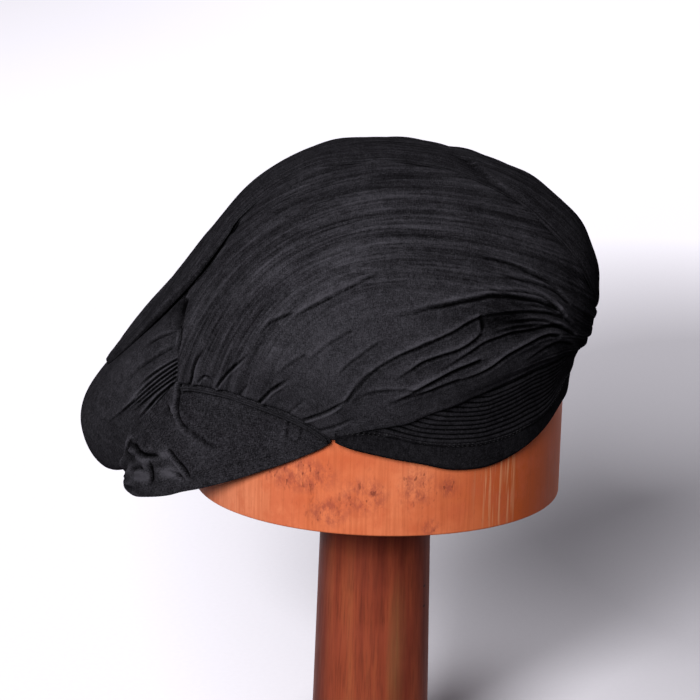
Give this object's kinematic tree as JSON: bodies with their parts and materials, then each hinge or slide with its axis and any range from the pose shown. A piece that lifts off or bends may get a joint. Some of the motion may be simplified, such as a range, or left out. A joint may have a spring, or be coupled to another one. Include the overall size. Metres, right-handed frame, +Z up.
{
  "type": "blangkon hat on a wooden block stand",
  "caption": "Black draped and pleated cloth hat with a full pouch at the nape, set on a round wooden block on a post.",
  "frame": {"origin": "centre of the stand's flat foot, on the post's axis, in the plane of the table", "axes": "+Z up along the post; the hat's forehead faces -Y and the wearer's right side faces -X"},
  "size_m": [0.21, 0.2547, 0.3415],
  "materials": {
    "black_cloth": "matt black cotton with a fine weave and a little grey lint",
    "black_seam": "matt black cotton, rolled and stitched",
    "block_wood": "orange brown wood with dark red specks, thin satin varnish",
    "post_wood": "dark red brown wood, turned and oiled"
  },
  "bodies": {
    "root": {"crown_top": "black_cloth", "side_wrap_right": "black_cloth", "side_wrap_left": "black_cloth", "pleat_band_right": "black_cloth", "pleat_band_left": "black_cloth", "back_pouch": "black_cloth", "nape_flap": "black_cloth", "seam_roll_right": "black_seam", "seam_roll_left": "black_seam", "stand_block": "block_wood", "stand_post": "post_wood", "stand_base": "post_wood"}
  },
  "joints": []
}
